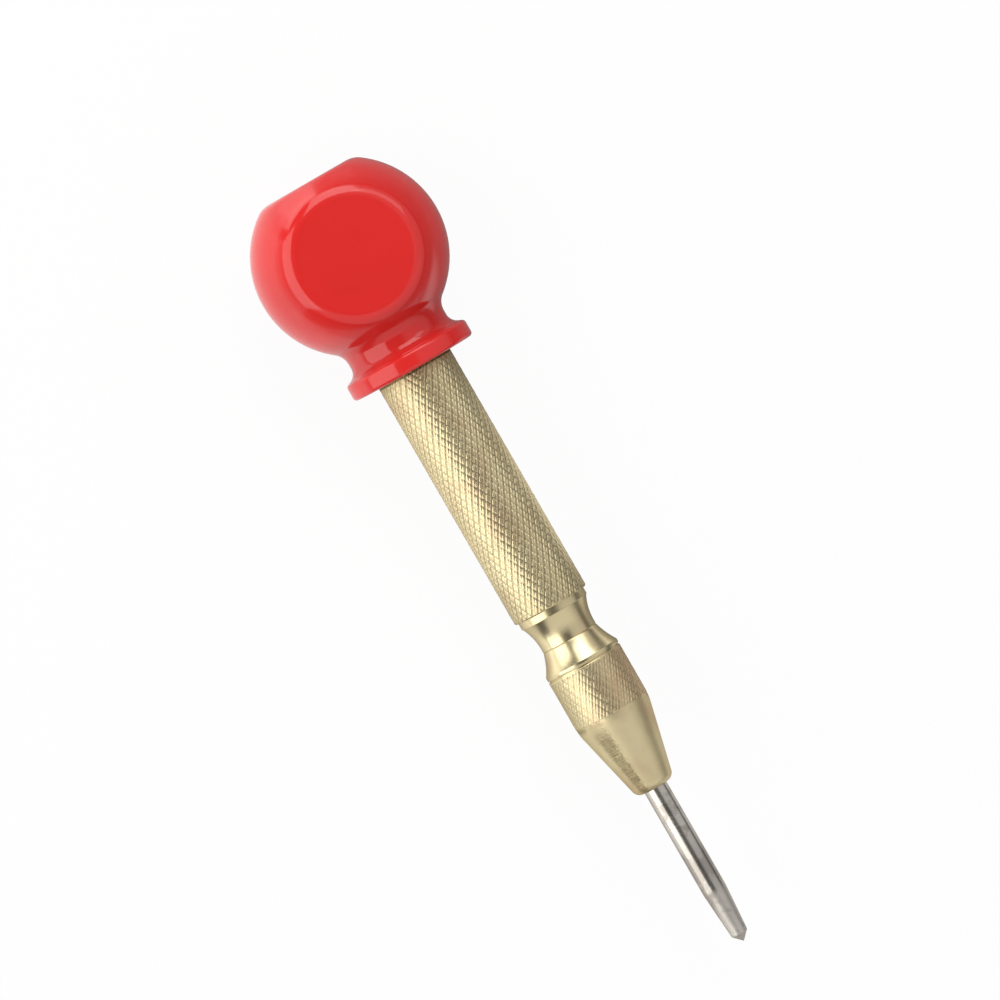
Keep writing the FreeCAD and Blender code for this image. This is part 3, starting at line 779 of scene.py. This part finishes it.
def build_punch():
    """The punch: striking cone, taper and shank, and the head that the nose holds."""
    shank = 2.14 * MM
    head = 3.72 * MM
    head_chamfer = 0.3 * MM
    head_seat = PUNCH_END - HEAD_LENGTH
    cone = (TIP_CONE, TIP_CONE)
    section = [(0.0, 0.0), (0.03 * MM, 0.05 * MM), cone]
    section += rounded(cone, (TAPER_END, shank), (head_seat, shank), 6.0 * MM)
    section += [
        (POINT_REACH, shank),
        (head_seat, shank),
        (head_seat, head),
        (PUNCH_END - head_chamfer, head),
        (PUNCH_END, head - head_chamfer),
        (PUNCH_END, 0.0),
    ]
    obj = lathe("ground_punch", section, 128)
    dress(obj, POINT_STEEL)
    crisp(obj.data)
    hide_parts("punch_point")
    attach(obj, "punch")


def build_nose():
    """The nose: cone, knurled band, turned line, hollow neck, seating ring and spigot."""
    knurl_end = CONE_END + 9.5 * MM
    band_start = knurl_end + 0.2 * MM
    band_middle = band_start + 0.4 * MM
    band_end = band_start + 0.9 * MM
    tool_line = band_end + 3.9 * MM
    ring_start = tool_line + 5.2 * MM
    scribe = 0.12 * MM
    chamfer = 0.12 * MM
    knurl_radius = 7.0 * MM
    guide = 2.2 * MM
    bore = 3.8 * MM
    spigot = 4.97 * MM
    head_seat = PUNCH_END - HEAD_LENGTH
    face = (POINT_REACH, 3.56 * MM)
    cone = (CONE_END - 1.1 * MM, 6.83 * MM)
    shoulder = (CONE_END, 6.899 * MM)
    section = [(knurl_end, knurl_radius - chamfer), (knurl_end, 6.72 * MM)]
    section += [(band_start, 6.72 * MM), (band_start + 0.08 * MM, 6.93 * MM)]
    section += [(band_middle, 6.98 * MM), (band_end - 0.1 * MM, 6.95 * MM)]
    section += hollow((band_end, 6.88 * MM), (tool_line - scribe, 5.2 * MM), 14 * MM)
    section += [(tool_line, 5.11 * MM)]
    section += hollow((tool_line + scribe, 5.2 * MM), (ring_start, 6.27 * MM), 10 * MM)
    section += [(ring_start, 6.34 * MM), (ring_start + 0.06 * MM, 6.4 * MM)]
    section += [(BARREL_START, 6.4 * MM), (BARREL_START, spigot)]
    section += [(SPIGOT_END, spigot), (SPIGOT_END, bore), (head_seat, bore)]
    section += [(head_seat, guide), (POINT_REACH, guide)]
    section += rounded((POINT_REACH, guide), face, cone, 1.6 * MM)
    section += rounded(face, cone, shoulder, 8.0 * MM)
    section += [shoulder, (CONE_END, knurl_radius - chamfer)]
    length = knurl_end - CONE_END
    last = end_phase(length, knurl_radius)
    obj = lathe("turned_nose", section, KNURL_SIDES, first_phase=last, last_phase=0.0)
    values = knurl_values(
        CONE_END,
        length,
        knurl_radius,
        BRASS,
        **{
            "Front Chamfer": chamfer,
            "Back Chamfer": chamfer,
            "Groove Depth": 0.13 * MM,
            "Between": 0.8,
            "Plain End": 0.1 * MM,
            "Run Out": 0.4 * MM,
            "Seed": 8.0,
        },
    )
    made_by(obj, KNURL, values)
    crisp(obj.data)
    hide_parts("nose")
    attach(obj, "barrel")


def build_barrel():
    """The barrel: knurled as far as the cap's socket, tapped at both ends, with a web inside."""
    skin_end = CAP_START + 3.0 * MM
    length = skin_end - BARREL_START
    chamfer = 0.25 * MM
    thread = 5.0 * MM
    bore = 4.5 * MM
    thread_end = BARREL_END - 10 * MM
    web_bore = 2.1 * MM
    web_end = WEB_START + 3.0 * MM
    last = end_phase(length, BARREL_RADIUS)
    section = [
        (skin_end, BARREL_RADIUS),
        (BARREL_END - chamfer, BARREL_RADIUS),
        (BARREL_END, BARREL_RADIUS - chamfer),
        (BARREL_END, thread),
        (thread_end, thread),
        (thread_end, bore),
        (web_end, bore),
        (web_end, web_bore),
        (WEB_START + 0.9 * MM, web_bore),
        (WEB_START, web_bore + 0.8 * MM),
        (WEB_START, thread),
        (BARREL_START, thread),
        (BARREL_START, BARREL_RADIUS - chamfer),
    ]
    obj = lathe("knurled_barrel", section, KNURL_SIDES, first_phase=last, last_phase=0.0)
    values = knurl_values(
        BARREL_START,
        length,
        BARREL_RADIUS,
        KNURLED,
        **{"Back Chamfer": 0.0, "Run Out": 1.0 * MM},
    )
    made_by(obj, KNURL, values)
    crisp(obj.data)
    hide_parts("barrel")
    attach(obj, "barrel")


def ball_surface(directions, flats):
    """How far the ball's skin lies from its centre along each direction, and its normals.

    Each flat meets the sphere in a rounded edge that is tangent to both.
    """
    reach = np.full(len(directions), BALL_RADIUS)
    normals = directions.copy()
    for facing, height, edge in flats:
        facing = np.array(facing, dtype=float)
        rise = directions @ facing
        side = directions - rise[:, None] * facing
        spread = np.linalg.norm(side, axis=1)
        side /= np.maximum(spread, 1e-12)[:, None]
        ring = math.sqrt((BALL_RADIUS - edge) ** 2 - (height - edge) ** 2)
        off_axis = np.arctan2(spread, rise)
        on_flat = off_axis < math.atan2(ring, height)
        on_edge = ~on_flat & (off_axis < math.atan2(ring, height - edge))
        reach[on_flat] = height / rise[on_flat]
        normals[on_flat] = facing
        centre = ring * side + (height - edge) * facing
        ahead = np.einsum("ij,ij->i", centre, directions)
        inside = np.maximum(ahead**2 - (BALL_RADIUS - edge) ** 2 + edge**2, 0.0)
        far = ahead + np.sqrt(inside)
        reach[on_edge] = far[on_edge]
        surface = (far[:, None] * directions - centre) / edge
        normals[on_edge] = surface[on_edge]
    return reach, normals


SMOOTH_TURN = math.cos(math.radians(12))


def section_normals(section):
    """For each stretch of a section, the outward normals at its two ends, smooth along arcs."""
    spots = np.array(section)
    steps = np.diff(spots, axis=0)
    steps /= np.linalg.norm(steps, axis=1)[:, None]
    flat = np.stack([-steps[:, 1], steps[:, 0]], axis=1)
    starts, ends = flat.copy(), flat.copy()
    for k in range(len(flat) - 1):
        if flat[k] @ flat[k + 1] > SMOOTH_TURN:
            shared = flat[k] + flat[k + 1]
            shared /= np.linalg.norm(shared)
            ends[k] = starts[k + 1] = shared
    return starts, ends


CAP_SIDES = 360
BALL_RINGS = 150
SAME_SPOT = 1e-7


def cap_section():
    """The cap's pocket, socket, flange and collar, and the angle at which the ball takes over."""
    collar = 9.4 * MM
    rim = 11.65 * MM
    rim_round = 0.7 * MM
    socket = BARREL_RADIUS + 0.3 * MM
    socket_floor = BARREL_END + 4.0 * MM
    pocket = 5.22 * MM
    pocket_end = socket_floor + 8.02 * MM
    blend = 3.3 * MM
    back = math.sqrt((BALL_RADIUS + blend) ** 2 - (collar + blend) ** 2)
    blend_centre = (BALL_CENTRE - back, collar + blend)
    lean = math.atan2(collar + blend, back)
    throat = 2.1 * MM
    throat_centre = (CAP_START + 5.25 * MM, collar + throat)

    section = [(pocket_end, 0.0), (pocket_end, pocket), (socket_floor, pocket)]
    section += [(socket_floor, socket), (CAP_START + 0.2 * MM, socket)]
    section += [(CAP_START, socket + 0.2 * MM)]
    section += rounded(
        (CAP_START, socket), (CAP_START, rim), (CAP_START + 3 * MM, rim), 0.65 * MM
    )
    section += arc((CAP_START + 2.44 * MM, rim - rim_round), rim_round, math.pi / 2, 0.1)
    section += arc(throat_centre, throat, math.radians(-165), math.radians(-90))
    section += arc(blend_centre, blend, -math.pi / 2, -lean)
    apart = [
        k == 0 or math.dist(spot, section[k - 1]) > SAME_SPOT for k, spot in enumerate(section)
    ]
    return [spot for spot, kept in zip(section, apart) if kept], lean


def ball_skin(around, lean):
    """The ball's points and normals, in rings from the collar's blend to the palm flat."""
    side_edge = 3.2 * MM
    palm_edge = 4.2 * MM
    polar = np.linspace(lean, math.pi, BALL_RINGS + 1)[1:]
    directions = np.concatenate(
        [np.sin(p) * around + np.array([-math.cos(p), 0.0, 0.0]) for p in polar[:-1]]
        + [np.array([[1.0, 0.0, 0.0]])]
    )
    flats = [
        ((0, 0, 1), SIDE_FLAT, side_edge),
        ((0, 0, -1), SIDE_FLAT, side_edge),
        ((1, 0, 0), PALM_FLAT, palm_edge),
    ]
    reach, normals = ball_surface(directions, flats)
    return directions * reach[:, None] + np.array([TIP_X + BALL_CENTRE, 0.0, AXIS_Z]), normals


def build_cap():
    """The moulded cap: socket, flange, collar and a ball with two side flats and a palm flat."""
    section, lean = cap_section()
    sides = CAP_SIDES
    angles = ring_angles(sides)
    around = np.stack([np.zeros(sides), np.cos(angles), np.sin(angles)], axis=1)
    ball_points, ball_normals = ball_skin(around, lean)

    points, rings = [], []
    for station, radius in section:
        if radius < ON_AXIS:
            rings.append([len(points)] * sides)
            points.append((TIP_X + station, 0.0, AXIS_Z))
        else:
            rings.append(list(range(len(points), len(points) + sides)))
            ring = radius * around + np.array([TIP_X + station, 0.0, AXIS_Z])
            points += [tuple(p) for p in ring]
    base = len(points)
    points += [tuple(p) for p in ball_points]
    ring_starts = [base + k * sides for k in range(BALL_RINGS - 1)]
    ball_rings = [list(range(first, first + sides)) for first in ring_starts]
    ball_rings.append([len(points) - 1] * sides)

    starts, ends = section_normals(section)
    faces, normals = [], []

    def turned_normal(pair, k):
        return (pair[0], pair[1] * around[k][1], pair[1] * around[k][2])

    for strip in range(len(rings) - 1):
        near, far = rings[strip], rings[strip + 1]
        for k in range(sides):
            after = (k + 1) % sides
            face = [near[k], near[after], far[after], far[k]]
            shades = [
                turned_normal(starts[strip], k),
                turned_normal(starts[strip], after),
                turned_normal(ends[strip], after),
                turned_normal(ends[strip], k),
            ]
            kept = dict(zip(face, shades))
            faces.append(tuple(kept))
            normals += kept.values()
    seam_normal = (-math.cos(lean), math.sin(lean))
    strips = zip([rings[-1]] + ball_rings, ball_rings)
    for near, far in strips:
        for k in range(sides):
            after = (k + 1) % sides
            kept = dict.fromkeys([near[k], near[after], far[after], far[k]])
            faces.append(tuple(kept))
            for vertex in kept:
                if vertex >= base:
                    normals.append(tuple(ball_normals[vertex - base]))
                else:
                    normals.append(turned_normal(seam_normal, rings[-1].index(vertex)))
    mesh = bpy.data.meshes.new("moulded_ball_cap")
    mesh.from_pydata(points, [], faces)
    mesh.shade_smooth()
    mesh.normals_split_custom_set(normals)
    obj = placed("moulded_ball_cap", mesh)
    dress(obj, RED)
    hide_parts("ball_cap")
    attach(obj, "cap")


def build_spring(name, node, sizes, first_turn, last_turn):
    """Some of a spring's turns, as one piece that stands for its node."""
    obj = placed(name, bpy.data.meshes.new(name))
    values = {
        "Axis Height": AXIS_Z,
        "Steps Round": 48,
        "Material": SPRING_STEEL,
        "From Turn": first_turn,
        "To Turn": last_turn,
    }
    made_by(obj, SPRING, {**values, **sizes})
    obj.data.shade_smooth()
    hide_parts(node)
    return obj


build_punch()
build_nose()
build_barrel()
build_cap()

WEB_FACE = TIP_X + WEB_START
TRIP_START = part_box("trip_spring")[0][0]
TRIP_LENGTH = WEB_FACE - TRIP_START
TRIP_SIZES = {
    "Start": TRIP_START,
    "Length": TRIP_LENGTH,
    "First Radius": 2.5 * MM,
    "Last Radius": 3.35 * MM,
    "Wire": 0.6 * MM,
    "Turns": 7.5,
    "Closed Turns": 0.8,
}
trip_spring = build_spring(
    "conical_trip_spring", "trip_spring", TRIP_SIZES, 0.0, TRIP_SIZES["Turns"]
)
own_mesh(trip_spring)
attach(trip_spring, "barrel")

# The hammer closes the main spring's front turns and the spring seat its back ones. They part where
# neither moves. Both faces lie a boss or a flange in front of the end of their node.
SEAT_FLANGE = 2.0 * MM
HAMMER_BOSS = 3.0 * MM
SEAT_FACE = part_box("spring_seat")[1][0] - SEAT_FLANGE
HAMMER_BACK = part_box("hammer")[1][0] - HAMMER_BOSS
MAIN_LENGTH = SEAT_FACE - HAMMER_BACK
PARTING_TURN = 5.5
MAIN_SIZES = {
    "Start": HAMMER_BACK,
    "Length": MAIN_LENGTH,
    "First Radius": 3.6 * MM,
    "Last Radius": 3.6 * MM,
    "Wire": 1.4 * MM,
    "Turns": 8.0,
    "Closed Turns": 1.0,
}


front_turns = build_spring(
    "coiled_main_spring_front", "main_spring", MAIN_SIZES, 0.0, PARTING_TURN
)
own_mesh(front_turns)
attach(front_turns, "barrel")
back_turns = build_spring(
    "coiled_main_spring_back", "main_spring", MAIN_SIZES, PARTING_TURN, MAIN_SIZES["Turns"]
)
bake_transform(back_turns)

for node_name, node_finish in (
    ("hammer", HARD_STEEL),
    ("trip_rod", HARD_STEEL),
    ("spring_seat", HARD_STEEL),
    ("adjusting_screw", PLATED_STEEL),
):
    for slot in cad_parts[node_name].material_slots:
        slot.material = node_finish


# ---------------------------------------------------------------- floor, light and camera

scene = bpy.context.scene

WHITE = (1.0, 1.0, 1.0, 1.0)
PALE = (0.9, 0.9, 0.9, 1.0)
FLOOR_SIZE = 3.0
FLOOR_Z = -0.1 * MM
SHOWN_WHITE = 0.94  # the rest of what the camera sees of the floor is lit, and takes the shadow


def painted_mirror_sheet(t, x, y, left):
    """The painted sheet that mirrors see on the floor. Its -Y side has painted shadow beside the
    neck and under the ball.
    """
    sheet = t.span(t.sum("ABSOLUTE", t.sum("SUBTRACT", x, 0.1)), 0.3, 0.4, 1.0, 0.0)
    sheet = t.sum("MULTIPLY", sheet, t.span(y, 0.10, 0.16, 1.0, 0.0, "SMOOTHSTEP"))
    sheet = t.sum("MULTIPLY", sheet, t.span(y, -0.09, -0.05, 0.0, 1.0, "SMOOTHSTEP"))
    neck = t.sum("ABSOLUTE", t.sum("SUBTRACT", x, -0.014))
    # Painted shadow on the -Y side of the sheet.
    painted_shadow_side = t.span(neck, 0.006, 0.014, 0.4, 1.0)
    painted_shadow_side = t.sum("MULTIPLY", painted_shadow_side, t.span(x, 0.018, 0.034, 1.0, 0.15))
    return t.sum("MULTIPLY", sheet, t.mix(left, painted_shadow_side, WHITE))


def painted_window_reflection(t, x, y):
    """A painted window reflection on the table beyond the ball, between two headings from one
    place.
    """
    heading = t.sum("DIVIDE", y, t.sum("MAXIMUM", t.sum("SUBTRACT", x, 0.06), MM))
    window = t.sum("MULTIPLY", t.span(heading, -0.1, -0.02, 0, 1), t.span(heading, 0.5, 0.6, 1, 0))
    return t.sum("MULTIPLY", window, t.span(x, 0.085, 0.12, 0.0, 1.0))


def build_floor():
    """A white sheet under the tool on a pale table. The camera sees mostly white; mirrors see sheet
    and table, with painted shadow, painted glare and a painted window reflection.
    """
    mesh = bpy.data.meshes.new("floor")
    corners = [(-1, -1), (1, -1), (1, 1), (-1, 1)]
    places = [(x * FLOOR_SIZE, y * FLOOR_SIZE, FLOOR_Z) for x, y in corners]
    mesh.from_pydata(places, [], [(0, 1, 2, 3)])
    obj = placed("floor", mesh)
    material = bpy.data.materials.new("white_floor")
    material.use_nodes = True
    t = Tree(material.node_tree)
    t.tree.nodes.clear()
    spot = t.add("ShaderNodeTexCoord").outputs["Object"]
    x, y, _ = t.add("ShaderNodeSeparateXYZ", {0: spot}).outputs
    path = t.add("ShaderNodeLightPath").outputs
    left = t.span(y, -0.012, 0.006, 0.0, 1.0)
    sheet = painted_mirror_sheet(t, x, y, left)

    # The paper's colour: the painted sheet for glossy rays, painted shade on the -Y side for
    # diffuse rays, and pale otherwise.
    paper_with_painted_shade = t.span(sheet, 0.0, 1.0, 0.2, 0.6)
    bounce_with_painted_shade = t.mix(path["Is Diffuse Ray"], PALE, t.span(left, 0.0, 1.0, 0.45, 0.9))
    paper_with_painted_shade = t.mix(path["Is Glossy Ray"], bounce_with_painted_shade, paper_with_painted_shade)
    paper = t.add("ShaderNodeBsdfPrincipled", {"Base Color": paper_with_painted_shade, "Roughness": 0.25})
    white = t.add("ShaderNodeEmission", {"Color": WHITE, "Strength": 1.0})
    seen = t.sum("MAXIMUM", path["Is Camera Ray"], path["Is Transmission Ray"])
    seen = t.sum("MULTIPLY", seen, SHOWN_WHITE)

    # Painted glare and a painted window reflection: emission on the floor that only glossy rays
    # see.
    painted_glare = t.span(x, -0.008, 0.0, 0.2, 0.55)
    painted_glare = t.sum("MULTIPLY", painted_glare, t.span(x, 0.03, 0.05, 1.0, 0.75))
    painted_reflections = t.sum("MAXIMUM", t.sum("MULTIPLY", sheet, painted_glare), painted_window_reflection(t, x, y))
    painted_reflections = t.sum("MULTIPLY", path["Is Glossy Ray"], painted_reflections)
    painted_glow = t.add("ShaderNodeEmission", {"Color": WHITE, "Strength": painted_reflections})
    mixed = t.add("ShaderNodeMixShader", {0: seen, 1: paper.outputs[0], 2: white.outputs[0]})
    lit = t.add("ShaderNodeAddShader", {0: mixed.outputs[0], 1: painted_glow.outputs[0]})
    output = t.add("ShaderNodeOutputMaterial")
    t.feed(output.inputs[0], lit.outputs[0])
    dress(obj, material)


def build_world():
    """A dim studio: grey panels on the -Y side and over the tip, dark elsewhere."""
    world = bpy.data.worlds.new("studio")
    scene.world = world
    world.use_nodes = True
    t = Tree(world.node_tree)
    background = t.tree.nodes["Background"]
    direction = t.add("ShaderNodeTexCoord").outputs["Generated"]
    x, y, z = t.add("ShaderNodeSeparateXYZ", {0: direction}).outputs
    swing = t.sum("ARCTAN2", t.sum("MULTIPLY", y, -1.0), z)

    def edge(angle, soft, before, after):
        low, high = math.radians(angle - soft), math.radians(angle + soft)
        return t.span(swing, low, high, before, after, "SMOOTHSTEP")

    def band(low, high, soft):
        """A soft window in the angle from overhead towards the -Y side, in degrees."""
        return t.sum("MULTIPLY", edge(low, soft, 0.0, 1.0), edge(high, soft, 1.0, 0.0))

    side_panel = t.sum("MULTIPLY", band(10, 78, 9), 0.54)
    tipward = t.span(x, -0.15, -0.42, 0.0, 0.72, "SMOOTHSTEP")
    tipward = t.sum("MULTIPLY", tipward, t.span(z, 0.0, 0.3, 0.45, 1.0))
    over_tip = t.sum("MULTIPLY", band(-58, 62, 10), tipward)
    level = t.sum("ADD", t.sum("MAXIMUM", side_panel, over_tip), 0.07)
    shade = t.add("ShaderNodeCombineColor", {0: level, 1: level, 2: level})
    t.feed(background.inputs["Color"], shade.outputs[0])


def area_lamp(name, place, aim, size, radiance, colour=(1.0, 1.0, 1.0)):
    """A softbox turned to the tool's axis at X = aim. A radiance of 1 is white in a mirror."""
    target = Vector((aim, 0.0, AXIS_Z))
    place = Vector(place)
    data = bpy.data.lights.new(name, "AREA")
    data.shape = "RECTANGLE"
    data.size, data.size_y = size
    data.energy = radiance * math.pi * size[0] * size[1]
    data.color = colour
    lamp = bpy.data.objects.new(name, data)
    bpy.context.collection.objects.link(lamp)
    facing = (place - target).to_track_quat("Z", "Y")
    lamp.matrix_world = Matrix.Translation(place) @ facing.to_matrix().to_4x4()


def build_camera():
    """Looks down on the tool, which lies point to the lower right."""
    roll = math.radians(4.4)
    pitch = math.radians(2.2)
    heading = math.radians(60.05)
    distance = 1.625
    mm_right_of_ball = 25.7
    mm_below_ball = 41.62
    x, y, z = Vector((1, 0, 0)), Vector((0, 1, 0)), Vector((0, 0, 1))
    above = z * math.cos(roll) + y * math.sin(roll)
    across = -y * math.cos(roll) + z * math.sin(roll)
    back = above * math.cos(pitch) + x * math.sin(pitch)
    tipwards = -x * math.cos(pitch) + above * math.sin(pitch)
    right = tipwards * math.cos(heading) + across * math.sin(heading)
    up = -tipwards * math.sin(heading) + across * math.cos(heading)
    ball = Vector((TIP_X + BALL_CENTRE, 0.0, AXIS_Z))
    place = ball + back * distance + right * mm_right_of_ball * MM - up * mm_below_ball * MM
    data = bpy.data.cameras.new("camera")
    data.lens = 342
    data.sensor_width = 36
    data.clip_end = 20
    camera = bpy.data.objects.new("camera", data)
    bpy.context.collection.objects.link(camera)
    axes = Matrix((right, up, back)).transposed().to_4x4()
    camera.matrix_world = Matrix.Translation(place) @ axes
    scene.camera = camera


build_floor()
build_world()
area_lamp(
    "left_softbox",
    place=(0.32, 0.71, 0.43),
    aim=0.32,
    size=(1.20, 0.88),
    radiance=2.1,
    colour=(1.0, 0.99, 0.97),
)
area_lamp("right_softbox", place=(0.40, -0.55, 0.65), aim=0.10, size=(0.5, 0.35), radiance=1.35)
area_lamp("end_softbox", place=(0.80, -0.18, 0.60), aim=0.0, size=(0.65, 0.8), radiance=2.5)
area_lamp("back_softbox", place=(0.42, 0.115, 0.05), aim=0.07, size=(0.26, 0.10), radiance=2.0)
build_camera()
scene.view_settings.view_transform = "Standard"
